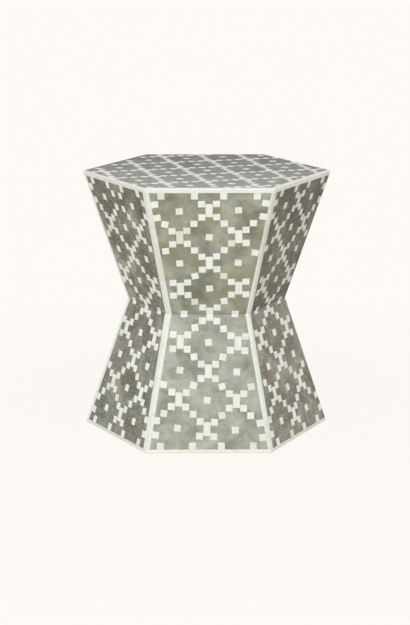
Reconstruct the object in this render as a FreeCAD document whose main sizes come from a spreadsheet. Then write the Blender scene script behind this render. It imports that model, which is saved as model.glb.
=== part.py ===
import FreeCAD, Part
import Sketcher
import math
import os
import random

# Bone inlay stool: a hexagonal hourglass of two tapered boxes, joined back to back at the waist.
# The boards carry a skin of bone pieces with resin floated between them.
# Origin on the floor under the middle, +Z up, one flat face towards -Y, corners on the X axis.

SIZES = [
    ("body_height", 481, "foot of the boxes to the seat"),
    ("across_corners", 457.2, "seat and foot, corner to corner"),
    ("waist_across_corners", 294, "waist, corner to corner"),
    ("skin_thickness", 3, "bone and resin over the boards"),
    ("panel_thickness", 12, "side panels"),
    ("top_board_thickness", 15, "board under the seat's inlay"),
    ("waist_board_thickness", 12, "board closing the narrow end of each box"),
    ("base_board_thickness", 12, "board closing the foot"),
    ("corner_strip_width", 8, "bone strip beside each arris, along the rim"),
    ("rim_strip_width", 8.5, "bone strip under the seat's edge, down the slope"),
    ("border_strip_width", 10, "bone strip along the front edges of the seat"),
    ("base_strip_width", 6.3, "bone strip round the foot, up the slope"),
    ("inlay_pitch", 13, "one square and one resin line on the sides"),
    ("seat_pitch", 13.2, "one square and one resin line on the seat"),
    ("resin_line", 0.4, "resin between two squares laid side by side"),
    ("seat_pattern_right", 1.5, "seat pattern's middle, off the axis"),
    ("seat_pattern_turn", 60, "seat pattern's turn, in degrees"),
    ("block_depth", 24, "corner blocks, from the inner arris"),
    ("block_length", 150, "corner blocks, upright"),
    ("screw_diameter", 4, "shank"),
    ("screw_head_diameter", 8, "countersunk head"),
    ("screw_head_height", 2.4, "countersunk head"),
    ("waist_screw_length", 20, "through one waist board into the other"),
    ("waist_screw_circle", 75, "radius of the ring of waist screws"),
    ("base_screw_length", 32, "through the base board into the blocks"),
    ("base_screw_inset", 16, "from the inner arris at the foot"),
    ("nail_diameter", 1.8, "shank"),
    ("nail_head_diameter", 3.6, "flat head"),
    ("nail_head_height", 1, "flat head"),
    ("nail_length", 35, "through the top board into the panels"),
    ("nail_spacing", 110, "between the two nails of one side"),
    ("glide_diameter", 22, "foot glides"),
    ("glide_thickness", 3, "foot glides"),
    ("glide_rounding", 0.8, "bevel round a glide's foot"),
    ("glide_proud", 1.5, "glides below the foot of the boxes"),
    ("glide_inset", 42, "from the inner arris at the foot"),
]

SIDES = 6
SIDE_ANGLE = 360 / SIDES
FRONT_ANGLE = -90
FACES = range(1, SIDES + 1)
HALVES = {"upper": 1, "lower": -1}

# The pattern repeats over two cells each way, and a cell is four pitches.
CELL = 4
BAR_LENGTH_IN_PITCHES = 2
PATTERN_REACH = 5
# Columns past the clusters meet the corner strips, and rows past them meet the strip at the far end.
LAST_CLUSTER_COLUMN = CELL + 1
LAST_CLUSTER_ROW = CELL * CELL + 1
STRIP_COLUMN = 7

# Shares of the pitch by which a hand lays squares out of their places.
EDGE_SHARE = 0.1
BUTT_SHARE = 0.56
LINK_SHIFT_SHARE = 0.06
LONE_SHIFT_SHARE = 0.08
WAIST_SQUARE_SHARE = 0.43
RIM_SQUARE_SHARE = 0.45
LAID_OFF_SHARES = {
    "upper": (0.24, 0.42, -0.12, 0.2, -0.3, -0.26),
    "lower": (0.24, 0.11, 0.18, -0.2, -0.15, -0.11),
}

# Turns in degrees: whole patterns on their faces, bars with their four squares, and single squares.
SLANTS = {"upper": (0.9, 0.2, -0.5, 0.6, 0.3, -0.9), "lower": (1.6, 0.4, -0.6, -0.3, 0.8, -0.4)}
CLUSTER_TURN = 1.2
LINK_TURN = 14
LONE_TURN = 7

# Widths of the strips at the left and right of a side. A negative share carries the resin past the
# arris, which then has a strip on the neighbouring side alone.
STRIP_SHARES = {
    "upper": {1: (0.98, 0.58), 2: (1.3, -0.5), 6: (0.93, 0.85)},
    "lower": {1: (0.93, 0.78), 2: (0.85, -0.5), 6: (1.04, 1.03)},
}
FULL_STRIP_SHARES = (1, 1)
# The seat has strips along its three front edges, and its resin runs out to the other three.
BORDER_SHARES = {6: 0.65, 1: 1.15, 2: 1}
BARE_EDGE_SHARE = -1

# One side lost the bar nearest its rim, and one link square slid down and under a strip.
LEFT_OUT = {("upper", 6): (0, 16)}
MOVED_SHARES = {("upper", 1): {(6, 10): (0.25, -0.5)}}
# Link squares that were pushed against the corner strip beside them.
PUSHED = {("lower", 1): ((-6, 10),), ("upper", 2): ((-6, 10),), ("lower", 4): ((6, 10),)}

document = FreeCAD.newDocument("bone_inlay_stool")
sheet = document.addObject("Spreadsheet::Sheet", "sizes")
for row, (alias, value, meaning) in enumerate(SIZES, start=1):
    sheet.set(f"A{row}", str(value))
    sheet.setAlias(f"A{row}", alias)
    sheet.set(f"B{row}", meaning)
document.recompute()

# Heights and rates that the boards, skins and fasteners share, as rules on the sheet.
RADIUS = "(sizes.across_corners / 2)"
WAIST_RADIUS = "(sizes.waist_across_corners / 2)"
HALF_HEIGHT = "(sizes.body_height / 2)"
WAIST_LEVEL = f"(sizes.glide_proud + {HALF_HEIGHT})"
HALF_SIDE = f"{SIDE_ANGLE / 2:g}"
FLARE = f"(({RADIUS} - {WAIST_RADIUS}) / {HALF_HEIGHT})"
SLOPE = f"sqrt(1 + ({FLARE} * cos({HALF_SIDE})) ^ 2)"
BOARD_DEPTH = "sizes.skin_thickness"
INNER_DEPTH = "(sizes.skin_thickness + sizes.panel_thickness)"
SKIN_TOP_RISE = f"({HALF_HEIGHT} - sizes.skin_thickness)"
BOARD_RISE = f"({SKIN_TOP_RISE} - sizes.top_board_thickness)"
OVER_SEAT_RISE = f"({HALF_HEIGHT} + sizes.skin_thickness)"
RIM_RISE = f"({HALF_HEIGHT} - sizes.rim_strip_width / {SLOPE})"
BASE_STRIP_RISE = f"({HALF_HEIGHT} - sizes.base_strip_width / {SLOPE})"
BASE_BOARD_RISE = f"({HALF_HEIGHT} - sizes.base_board_thickness)"


def corner_radius(rise, depth):
    """Corner radius of the hexagon at a height from the waist and a depth under the finished face."""
    return f"({WAIST_RADIUS} + {FLARE} * {rise} - {depth} * {SLOPE} / cos({HALF_SIDE}))"


def level(half, rise):
    """Height above the floor of a place that is so far from the waist, up or down."""
    sign = "+" if HALVES[half] > 0 else "-"
    return f"({WAIST_LEVEL} {sign} {rise})"


def face_angle(face):
    return FRONT_ANGLE + (face - 1) * SIDE_ANGLE


def bind(item, rules):
    for name, rule in rules.items():
        item.setExpression(name, rule)
    return item


def apothem(rise, depth):
    return f"{corner_radius(rise, depth)} * cos({HALF_SIDE})"


def leaning_slab(name, half, face, rises, near, far):
    """Slab leaning with one side between two heights from the waist; near and far are rules of a height."""
    slab = document.addObject("Part::Wedge", name)
    low, high = rises if half == "upper" else reversed(rises)
    outward = FreeCAD.Vector(*rotated(1, 0, face_angle(face)), 0)
    across = FreeCAD.Vector(*rotated(0, 1, face_angle(face)), 0)
    slab.Placement.Rotation = FreeCAD.Rotation(across, FreeCAD.Vector(0, 0, 1), outward, "XYZ")
    return bind(slab, {
        "Placement.Base.z": level(half, low),
        "Ymin": "0",
        "Ymax": f"{rises[1]} - {rises[0]}",
        "Xmin": f"-{RADIUS}",
        "Xmax": RADIUS,
        "X2min": f"-{RADIUS}",
        "X2max": RADIUS,
        "Zmin": near(low),
        "Zmax": far(low),
        "Z2min": near(high),
        "Z2max": far(high),
    })


def tapered_hexagon(name, half, rises, depth):
    """Solid hexagon between two heights from the waist, following the slope of the sides."""
    hexagon = document.addObject("Part::MultiCommon", name)
    hexagon.Shapes = [
        leaning_slab(f"{name}_pair_{face}", half, face, rises,
                     lambda rise: f"-{apothem(rise, depth)}", lambda rise: apothem(rise, depth))
        for face in FACES[:SIDES // 2]
    ]
    return hexagon


def side_piece(name, half, face, rises, depths, prism):
    """One side of the hourglass between two heights and two depths, inside an upright prism."""
    slab = leaning_slab(f"{name}_slab", half, face, rises,
                        lambda rise: apothem(rise, depths[1]), lambda rise: apothem(rise, depths[0]))
    return boolean("Common", name, slab, prism)


def boolean(kind, name, base, tool):
    result = document.addObject(f"Part::{kind}", name)
    result.Base = base
    result.Tool = tool
    return result


def compound(name, members):
    group = document.addObject("Part::Compound", name)
    group.Links = members
    return group


def sector(name, face, left="0", right="0"):
    """Upright three-sided prism over one side of the hexagon, so far inside its left and right mitres."""
    prism = document.addObject("Part::Prism", name)
    prism.Polygon = 3
    angle = face_angle(face)
    prism.Placement.Rotation = FreeCAD.Rotation(FreeCAD.Vector(0, 0, 1), angle + SIDE_ANGLE)
    # Moved along one mitre, the prism leaves the other.
    moves = ((RADIUS, angle), (left, angle + SIDE_ANGLE / 2), (right, angle - SIDE_ANGLE / 2))
    return bind(prism, {
        "Circumradius": RADIUS,
        "Height": "sizes.body_height + 2 * sizes.glide_proud",
        "Placement.Base.x": " + ".join(f"{way} * cos({turn:g})" for way, turn in moves),
        "Placement.Base.y": " + ".join(f"{way} * sin({turn:g})" for way, turn in moves),
    })


def strip_share(half, face, side):
    """Share of the usual width that the strip at one end of a side has."""
    return STRIP_SHARES[half].get(face, FULL_STRIP_SHARES)[side > 0]


def origin_feature(body, role):
    return next(item for item in body.Origin.OriginFeatures if item.Role == role)


def outlined(body, name, role, corners, offsets):
    """Closed sketch through corners given as rules; a corner rule of None lies on that axis."""
    sketch = body.newObject("Sketcher::SketchObject", name)
    sketch.AttachmentSupport = [(origin_feature(body, role), "")]
    sketch.MapMode = "FlatFace"
    bind(sketch, {f"AttachmentOffset.Base.{axis}": rule for axis, rule in offsets.items()})
    points = [
        FreeCAD.Vector(*(0 if rule is None else evaluated(rule) for rule in corner), 0)
        for corner in corners
    ]
    for start, end in zip(points, points[1:] + points[:1]):
        sketch.addGeometry(Part.LineSegment(start, end))
    count = len(points)
    for index in range(count):
        sketch.addConstraint(Sketcher.Constraint("Coincident", index, 2, (index + 1) % count, 1))
    for index, corner in enumerate(corners):
        for kind, axis, rule in (("DistanceX", -2, corner[0]), ("DistanceY", -1, corner[1])):
            if rule is None:
                sketch.addConstraint(Sketcher.Constraint("PointOnObject", index, 1, axis))
            else:
                number = sketch.addConstraint(
                    Sketcher.Constraint(kind, -1, 1, index, 1, evaluated(rule)))
                sketch.setExpression(f"Constraints[{number}]", rule)
    return sketch


def evaluated(rule):
    return float(sheet.evalExpression(rule))


def ring_of(name, features, count):
    """Repeats features of a body round the upright axis."""
    body = features[0].getParentGeoFeatureGroup()
    ring = body.newObject("PartDesign::PolarPattern", name)
    ring.Originals = features
    ring.Axis = (origin_feature(body, "Z_Axis"), [""])
    ring.Angle = 360
    ring.Occurrences = count
    body.Tip = ring
    return body


def new_body(label):
    body = document.addObject("PartDesign::Body", label)
    body.AllowCompound = True
    return body


def turned(body, name, corners, offsets):
    """Round piece turned about an upright line that stands off from the body's axis."""
    sketch = outlined(body, f"{name}_outline", "XZ_Plane", corners, offsets)
    piece = body.newObject("PartDesign::Revolution", name)
    piece.Profile = sketch
    piece.ReferenceAxis = (sketch, ["V_Axis"])
    piece.Angle = 360
    return piece


def screw_outline(length):
    """Half outline of a countersunk screw, head down, with a short point."""
    head, shank = "sizes.screw_head_diameter / 2", "sizes.screw_diameter / 2"
    return [
        (None, None),
        (head, None),
        (shank, "sizes.screw_head_height"),
        (shank, f"{length} - sizes.screw_diameter"),
        (None, length),
    ]


def screw_ring(label, length, radius, height):
    body = new_body(label)
    screw = turned(body, f"{label}_one", screw_outline(length), {"x": radius, "y": height})
    return ring_of(f"{label}_ring", [screw], SIDES)


def glide_ring(label):
    body = new_body(label)
    edge = "sizes.glide_diameter / 2"
    outline = [
        (None, None),
        (f"{edge} - sizes.glide_rounding", None),
        (edge, "sizes.glide_rounding"),
        (edge, "sizes.glide_thickness"),
        (None, "sizes.glide_thickness"),
    ]
    radius = f"{corner_radius(HALF_HEIGHT, INNER_DEPTH)} - sizes.glide_inset"
    glide = turned(body, f"{label}_one", outline, {"x": radius})
    return ring_of(f"{label}_ring", [glide], SIDES)


def nail_ring(label):
    """Two upright nails a side, their shanks in the middle of the panels' upper edges."""
    body = new_body(label)
    body.Placement.Rotation = FreeCAD.Rotation(FreeCAD.Vector(0, 0, 1), SIDE_ANGLE / 2)
    head, shank = "sizes.nail_head_diameter / 2", "sizes.nail_diameter / 2"
    outline = [
        (None, None),
        (head, None),
        (head, "-sizes.nail_head_height"),
        (shank, "-sizes.nail_head_height"),
        (shank, "-sizes.nail_length"),
        (None, "-sizes.nail_length"),
    ]
    bite = "(sizes.nail_length - sizes.top_board_thickness)"
    panel_middle = "(sizes.skin_thickness + sizes.panel_thickness / 2)"
    middle = corner_radius(f"({BOARD_RISE} - {bite} / 2)", panel_middle)
    nails = [
        turned(body, f"{label}_{side}", outline, {
            "x": f"{middle} * cos({HALF_SIDE})",
            "y": level("upper", SKIN_TOP_RISE),
            "z": f"{sign} sizes.nail_spacing / 2",
        })
        for side, sign in (("left", "-"), ("right", "+"))
    ]
    return ring_of(f"{label}_ring", nails, SIDES)


def block_ring(label, half, rise):
    """Three-sided blocks glued into the inner arrises, leaning with them, from their wide end."""
    body = new_body(label)
    arris = corner_radius(rise, INNER_DEPTH)
    back = f"{arris} - sizes.block_depth"
    spread = f"sizes.block_depth * tan({SIDE_ANGLE:g})"
    corners = [(arris, None), (back, spread), (back, f"-{spread}")]
    end = outlined(body, f"{label}_end", "XY_Plane", corners, {"z": level(half, rise)})
    block = body.newObject("PartDesign::Pad", f"{label}_one")
    block.Profile = end
    block.UseCustomVector = True
    block.AlongSketchNormal = True
    block.Direction = FreeCAD.Vector(-evaluated(FLARE), 0, -HALVES[half])
    bind(block, {"Length": "sizes.block_length", "Direction.x": f"-{FLARE}"})
    return ring_of(f"{label}_ring", [block], SIDES)


def uneven(*place):
    """A repeatable number from -1 to 1 for one place of the pattern, as a hand would lay it."""
    return random.Random(repr(place)).uniform(-1, 1)


def rotated(x, y, degrees):
    cosine, sine = math.cos(math.radians(degrees)), math.sin(math.radians(degrees))
    return x * cosine - y * sine, x * sine + y * cosine


def pattern(seed, rows):
    """Squares and bars of the pattern in pitches: column, row, place, bar or not, and turn."""
    columns = range(-PATTERN_REACH, PATTERN_REACH + 1)
    cells = [(CELL * i, CELL * j, (i + j) % 2) for i in columns for j in rows]
    pieces = []
    for column, row, lone in cells:
        here = (seed, column, row)
        if lone:
            shift = [LONE_SHIFT_SHARE * uneven("lone", axis, *here) for axis in (0, 1)]
            place = (column + shift[0], row + shift[1])
            pieces.append((column, row, place, False, LONE_TURN * uneven("turn", *here)))
        else:
            turn = CLUSTER_TURN * uneven("turn", *here)
            pieces.append((column, row, (column, row), True, turn))
            for x, y in ((-1, -1), (1, -1), (1, 1), (-1, 1)):
                dx, dy = rotated(x, y, turn)
                pieces.append((column + x, row + y, (column + dx, row + dy), False, turn))
        # A link square stands half a cell on, and slides only across the line of its neighbours.
        x, y = column + CELL / 2, row + CELL / 2
        slide = LINK_SHIFT_SHARE * uneven("slide", *here)
        place = (x + slide, y + (slide if lone else -slide))
        pieces.append((x, y, place, False, LINK_TURN * uneven("link", *here)))
    return pieces


def laid_solid(frame, place, lengths, turn, depth):
    """Block of bone with its face at the finished surface, turned about its own middle."""
    width, length = lengths
    block = Part.makeBox(width, length, abs(depth))
    lowest = min(depth, 0)
    block.translate(FreeCAD.Vector(-width / 2, -length / 2, lowest))
    block.Placement = frame.multiply(FreeCAD.Placement(
        FreeCAD.Vector(*place, 0), FreeCAD.Rotation(FreeCAD.Vector(0, 0, 1), turn),
    )).multiply(block.Placement)
    return block


def bone_group(label, blank, inside, crossing):
    """Pieces that lie clear of their field's edges as they are, and the others cut to them."""
    cut_to_field = Part.makeCompound(crossing).common(blank.Shape)
    group = document.addObject("Part::Feature", label)
    group.Shape = Part.makeCompound(inside + cut_to_field.Solids)
    group.Placement = FreeCAD.Placement()
    return group


def piece_lengths(pitch, is_bar):
    square = pitch - sheet.resin_line
    return square, square + (BAR_LENGTH_IN_PITCHES - 1) * pitch * is_bar


def piece_reach(lengths, turn):
    """Half the room that a turned piece takes, across and along."""
    cosine, sine = abs(math.cos(math.radians(turn))), abs(math.sin(math.radians(turn)))
    width, length = lengths
    return (width * cosine + length * sine) / 2, (width * sine + length * cosine) / 2


def side_squares(label, half, face, blank):
    """Bone pieces of one side, from the crease at the waist to the strip at its far end."""
    pitch, skin = sheet.inlay_pitch, sheet.skin_thickness
    run = evaluated(f"({RADIUS} - {WAIST_RADIUS}) * cos({HALF_SIDE})")
    rise = evaluated(HALF_HEIGHT)
    slant = math.hypot(run, rise)
    waist_half_width = evaluated(f"{WAIST_RADIUS} / 2") - sheet.corner_strip_width
    spread = evaluated(f"({RADIUS} - {WAIST_RADIUS}) / 2") / slant
    end_strip = sheet.rim_strip_width if half == "upper" else sheet.base_strip_width
    field_length = slant - end_strip
    outward = FreeCAD.Vector(*rotated(1, 0, face_angle(face)), 0)
    across = FreeCAD.Vector(*rotated(0, 1, face_angle(face)), 0)
    along = (outward * run + FreeCAD.Vector(0, 0, HALVES[half] * rise)) / slant
    crease = outward * evaluated(f"{WAIST_RADIUS} * cos({HALF_SIDE})")
    crease.z = evaluated(WAIST_LEVEL)
    frame = FreeCAD.Placement(crease, FreeCAD.Rotation(across, along, across.cross(along), "XYZ"))
    depth = -HALVES[half] * skin
    slope_turn = math.degrees(math.atan(spread))

    def room(length, share=1):
        """From the middle of the side to a strip of so much of the usual width."""
        return waist_half_width + spread * length + (1 - share) * sheet.corner_strip_width

    inside, crossing = [], []
    for column, row, place, is_bar, turn in pattern((half, face), range(PATTERN_REACH + 1)):
        nominal_x, nominal_y = abs(column) * pitch, row * pitch
        margin = EDGE_SHARE * pitch
        beyond = nominal_x + margin > room(nominal_y) or nominal_y + margin > field_length
        if row < 0 or beyond or LEFT_OUT.get((half, face)) == (column, row):
            continue
        moved = MOVED_SHARES.get((half, face), {}).get((column, row), (0, 0))
        place = [(at + share) * pitch for at, share in zip(place, moved)]
        x, y = rotated(*place, SLANTS[half][face - 1])
        x += LAID_OFF_SHARES[half][face - 1] * pitch
        turn += SLANTS[half][face - 1]
        lengths = piece_lengths(pitch, is_bar)
        side = math.copysign(1, x)
        share = max(strip_share(half, face, side), 0)
        if row == 0 and column:
            x -= side * WAIST_SQUARE_SHARE * pitch
            turn, y = 0, 0
        if abs(column) > LAST_CLUSTER_COLUMN:
            gap = room(y, share) - abs(x) - lengths[0] / 2
            pushed = abs(column) == STRIP_COLUMN or (column, row) in PUSHED.get((half, face), ())
            if row > LAST_CLUSTER_ROW:
                x += side * RIM_SQUARE_SHARE * pitch
            elif pushed and 0 < gap < pitch:
                x += side * gap
                turn = -side * slope_turn
        end_gap = field_length - y - lengths[1] / 2
        if 0 < end_gap < BUTT_SHARE * pitch:
            y += end_gap
            turn = 0
        reach_x, reach_y = piece_reach(lengths, turn)
        clear = (abs(x) + reach_x < room(y - reach_y, share) - skin
                 and skin < y - reach_y and y + reach_y < field_length - skin)
        block = laid_solid(frame, (x, y), lengths, turn, depth)
        (inside if clear else crossing).append(block)
    return bone_group(label, blank, inside, crossing)


def field_edge(face):
    """From the middle of the seat to the strip along an edge, or past an edge that has none."""
    share = BORDER_SHARES.get(face, BARE_EDGE_SHARE)
    return f"({RADIUS} * cos({HALF_SIDE}) - sizes.border_strip_width * {share:g})"


def seat_squares(label, blank):
    """Bone pieces of the seat, cut by its strips and its edges."""
    pitch, skin = sheet.seat_pitch, sheet.skin_thickness
    middle = FreeCAD.Vector(sheet.seat_pattern_right, 0, evaluated(level("upper", HALF_HEIGHT)))
    frame = FreeCAD.Placement(
        middle, FreeCAD.Rotation(FreeCAD.Vector(0, 0, 1), sheet.seat_pattern_turn))
    seat_edge = evaluated(f"{RADIUS} * cos({HALF_SIDE})")
    edges = [
        (FreeCAD.Vector(*rotated(1, 0, face_angle(face)), 0),
         min(seat_edge, evaluated(field_edge(face))))
        for face in FACES
    ]

    def room(x, y):
        point = frame.multVec(FreeCAD.Vector(x, y, 0))
        return min(edge - point.dot(normal) for normal, edge in edges)

    inside, crossing = [], []
    rows = range(-PATTERN_REACH, PATTERN_REACH + 1)
    for column, row, place, is_bar, turn in pattern("seat", rows):
        # A lone square stands at the middle of the seat, one cell from the nearest bars.
        if room((column + CELL) * pitch, row * pitch) < EDGE_SHARE * pitch:
            continue
        x, y = (place[0] + CELL) * pitch, place[1] * pitch
        lengths = piece_lengths(pitch, is_bar)
        clear = room(x, y) > math.hypot(*lengths) / 2 + skin
        block = laid_solid(frame, (x, y), lengths, turn, -skin)
        (inside if clear else crossing).append(block)
    return bone_group(label, blank, inside, crossing)


def boxes_and_fasteners():
    """The two tapered boxes, their blocks, screws, nails and glides, as finished sub-parts."""
    sectors = {face: sector(f"mitre_sector_{face}", face) for face in FACES}
    nails = nail_ring("top_nails")
    waist_head = f"{WAIST_LEVEL} - sizes.waist_board_thickness"
    waist_screws = screw_ring("waist_screws", "sizes.waist_screw_length",
                              "sizes.waist_screw_circle", waist_head)
    foot_arris = corner_radius(HALF_HEIGHT, INNER_DEPTH)
    base_screws = screw_ring("base_screws", "sizes.base_screw_length",
                             f"{foot_arris} - sizes.base_screw_inset", "sizes.glide_proud")
    glides = glide_ring("floor_glides")
    parts = [nails, waist_screws, base_screws, glides]
    depths = (BOARD_DEPTH, INNER_DEPTH)
    for face, prism in sectors.items():
        blank = side_piece(f"upper_panel_blank_{face}", "upper", face, ("0", BOARD_RISE), depths, prism)
        parts.append(boolean("Cut", f"upper_side_panel_{face}", blank, nails))
        parts.append(side_piece(
            f"lower_side_panel_{face}", "lower", face, ("0", HALF_HEIGHT), depths, prism))
    top = tapered_hexagon("top_board_blank", "upper", (BOARD_RISE, SKIN_TOP_RISE), BOARD_DEPTH)
    parts.append(boolean("Cut", "top_board", top, nails))
    for half in HALVES:
        rises = ("0", "sizes.waist_board_thickness")
        board = tapered_hexagon(f"{half}_waist_blank", half, rises, INNER_DEPTH)
        parts.append(boolean("Cut", f"{half}_waist_board", board, waist_screws))
    base = tapered_hexagon("base_board_blank", "lower", (BASE_BOARD_RISE, HALF_HEIGHT), INNER_DEPTH)
    fittings = compound("base_board_fittings", [base_screws, glides])
    parts.append(boolean("Cut", "base_board", base, fittings))
    parts.append(block_ring("upper_corner_blocks", "upper", BOARD_RISE))
    blocks = block_ring("lower_block_blanks", "lower", BASE_BOARD_RISE)
    parts.append(boolean("Cut", "lower_corner_blocks", blocks, base_screws))
    return parts, sectors


def border_sector(face):
    """Prism that ends a seat strip at the mitre with the next one, or past a corner without one."""
    beside = [(face + step) % SIDES or SIDES for step in (-1, 1)]
    return sector(f"seat_border_sector_{face}", face, *(
        "0" if other in BORDER_SHARES else f"{BARE_EDGE_SHARE} * 2 * sizes.border_strip_width"
        for other in beside))


def bone_strips(sectors, fields):
    """Strips of bone along the arrises, the rim, the foot and the seat's front, mitred at corners."""
    parts = []
    sides = {}
    depths = ("0", BOARD_DEPTH)
    for half, end_rise in (("upper", RIM_RISE), ("lower", BASE_STRIP_RISE)):
        strips = []
        for face, prism in sectors.items():
            side = side_piece(f"{half}_skin_{face}", half, face, ("0", end_rise), depths, prism)
            strips.append(boolean("Cut", f"{half}_strip_pair_{face}", side, fields[half, face]))
            sides[half, face] = side
        parts.append(compound(f"{half}_corner_strips", strips))
    for label, half, rises in (("rim_strips", "upper", (RIM_RISE, SKIN_TOP_RISE)),
                               ("base_strips", "lower", (BASE_STRIP_RISE, HALF_HEIGHT))):
        parts.append(compound(label, [
            side_piece(f"{label}_{face}", half, face, rises, depths, prism)
            for face, prism in sectors.items()
        ]))
    seat = tapered_hexagon("seat_skin", "upper", (SKIN_TOP_RISE, HALF_HEIGHT), "0")
    opening = document.addObject("Part::MultiCommon", "seat_field")
    opening.Shapes = [
        leaning_slab(f"seat_field_pair_{face}", "upper", face, (BOARD_RISE, OVER_SEAT_RISE),
                     lambda rise: f"-{field_edge(face + SIDES // 2)}", lambda rise: field_edge(face))
        for face in FACES[:SIDES // 2]
    ]
    border = boolean("Cut", "seat_border", seat, opening)
    parts.append(compound("seat_border_strips", [
        boolean("Common", f"seat_border_{face}", border, border_sector(face)) for face in BORDER_SHARES
    ]))
    return parts, sides, boolean("Common", "seat_resin_blank", seat, opening)


def inlay(sides, fields, seat_blank):
    """Resin fields and the bone squares and bars set in them, one pair a face."""
    blanks = {
        (half, face): boolean("Common", f"{half}_resin_blank_{face}", side, fields[half, face])
        for (half, face), side in sides.items()
    }
    document.recompute()
    parts = []
    for (half, face), blank in blanks.items():
        squares = side_squares(f"{half}_bone_squares_{face}", half, face, blank)
        parts += [squares, boolean("Cut", f"{half}_resin_{face}", blank, squares)]
    squares = seat_squares("seat_bone_squares", seat_blank)
    return parts + [squares, boolean("Cut", "seat_resin", seat_blank, squares)]


def check(parts):
    for item in document.Objects:
        if "Invalid" in item.State or "Error" in item.State:
            raise RuntimeError(f"{item.Name}: {item.State}")
    for part in parts:
        shape = part.Shape
        if shape.isNull() or not shape.isValid() or not shape.Solids or shape.Volume <= 0:
            raise RuntimeError(f"{part.Label}: no valid solid")


def export(parts):
    os.makedirs("parts", exist_ok=True)
    for part in parts:
        part.Shape.exportStep(f"parts/{part.Label}.step")
        print(f"{part.Label}: {len(part.Shape.Solids)} solids, {part.Shape.Volume / 1000:.1f} cm3")


finished, mitres = boxes_and_fasteners()
resin_sectors = {
    (half, face): sector(f"{half}_field_sector_{face}", face, *(
        f"sizes.corner_strip_width * {strip_share(half, face, side):g}" for side in (-1, 1)))
    for half in HALVES for face in FACES
}
strip_parts, skin_sides, seat_resin_blank = bone_strips(mitres, resin_sectors)
finished += strip_parts
finished += inlay(skin_sides, resin_sectors, seat_resin_blank)
document.recompute()
check(finished)
export(finished)
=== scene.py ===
import math
import random

import bmesh
import bpy
from mathutils import Matrix, Vector


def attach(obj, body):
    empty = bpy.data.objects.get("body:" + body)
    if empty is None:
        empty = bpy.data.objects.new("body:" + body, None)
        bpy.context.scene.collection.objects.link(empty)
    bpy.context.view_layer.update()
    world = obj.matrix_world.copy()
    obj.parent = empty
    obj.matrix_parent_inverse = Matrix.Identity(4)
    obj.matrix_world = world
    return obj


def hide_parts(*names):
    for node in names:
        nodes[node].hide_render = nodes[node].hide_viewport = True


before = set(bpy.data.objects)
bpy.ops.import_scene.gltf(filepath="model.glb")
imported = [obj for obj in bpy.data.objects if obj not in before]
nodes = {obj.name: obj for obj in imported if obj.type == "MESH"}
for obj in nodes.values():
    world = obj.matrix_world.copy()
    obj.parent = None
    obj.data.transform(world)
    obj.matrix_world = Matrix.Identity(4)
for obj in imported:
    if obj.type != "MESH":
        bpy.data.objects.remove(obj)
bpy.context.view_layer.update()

# Bone inlay stool, in metres: a hexagonal hourglass on six glides, its skin of bone laid in resin.
# Sides are numbered from the front one, 1, to the right.
MM = 0.001
SIDES = 6
HALF_TURN = math.pi / SIDES
FACES = range(1, SIDES + 1)
FRONT = 1
HALVES = {"upper": 1, "lower": -1}
UP = Vector((0, 0, 1))
CORNER_RADIUS = 228.6 * MM
WAIST_RADIUS = 147 * MM
HALF_HEIGHT = 240.5 * MM
GLIDE_PROUD = 1.5 * MM
WAIST_LEVEL = GLIDE_PROUD + HALF_HEIGHT
SEAT_LEVEL = WAIST_LEVEL + HALF_HEIGHT
SKIN = 3 * MM
PANEL = 12 * MM
RUN = (CORNER_RADIUS - WAIST_RADIUS) * math.cos(HALF_TURN)
SLANT = math.hypot(RUN, HALF_HEIGHT)
SLOPE = SLANT / HALF_HEIGHT
CORNER_STRIP = 8 * MM
RIM_STRIP = 8.5 * MM
BORDER_STRIP = 10 * MM
BASE_STRIP = 6.3 * MM
PITCH = 13 * MM

# Under the foot: the panels' inner arrises, and how far inside them the screws and glides are.
FOOT_ARRIS = CORNER_RADIUS - (SKIN + PANEL) * SLOPE / math.cos(HALF_TURN)
SCREW_INSET = 16 * MM
SCREW_LENGTH = 32 * MM
GLIDE_INSET = 42 * MM

# Half the outline of a glide in millimetres, as radius and height from its sole to its top.
GLIDE_OUTLINE = ((0, 0.25), (6, 0.12), (9.4, 0.0), (10.3, 0.22), (10.8, 0.7), (11, 1.4), (11, 2.8),
                 (10.8, 3), (0, 3))

# Shares of the strips' widths at the left and right of each side, and along the seat's front edges.
STRIP_SHARES = {
    "upper": {1: (0.98, 0.58), 2: (1.3, 0), 6: (0.93, 0.85)},
    "lower": {1: (0.93, 0.78), 2: (0.85, 0), 6: (1.04, 1.03)},
}
BORDER_SHARES = {6: 0.65, 1: 1.15, 2: 1}
# The arris after this side has resin on one of its sides and stays sharp.
BARE_ARRIS = 2

# How the bone is worked: the joints of its lengths, its small bevels and the rounded arrises.
JOINT = 0.12 * MM
JOINT_SKEW = 0.05
JOINT_WANDER = 0.18
SEAM = 0.1 * MM
BEVEL = 0.14 * MM
SQUARE_EASING = 1.3
NIPPED_CORNER = 0.3 * MM
HAND_CUT = 0.12 * MM
GRAIN_STRAY = 0.06
NEARLY_SQUARE = 1.5
ARRIS_ROUNDING = 2.6 * MM
SEAT_ROUNDING = 1.3 * MM
FOOT_ROUNDING = 1.0 * MM
ARRIS_LENGTHS = 4
EDGE_LENGTHS = 3

# Cosines of the angles within which two directions count as one, and angles within which an edge
# counts as flat, or from which it counts as sharp.
SAME_FACE = 0.9999
SAME_SIDE = 0.999
FLAT_EDGE = math.radians(0.4)
SHARP_BONE = math.radians(24)
SHARP_FITTING = math.radians(30)

# Distances within which points count as one, or as on a plane or line.
WELD = 1e-6
ON_SPOKE = 1e-7
ON_PLANE = 1e-8
ON_CENTRE = 1e-9

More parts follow.
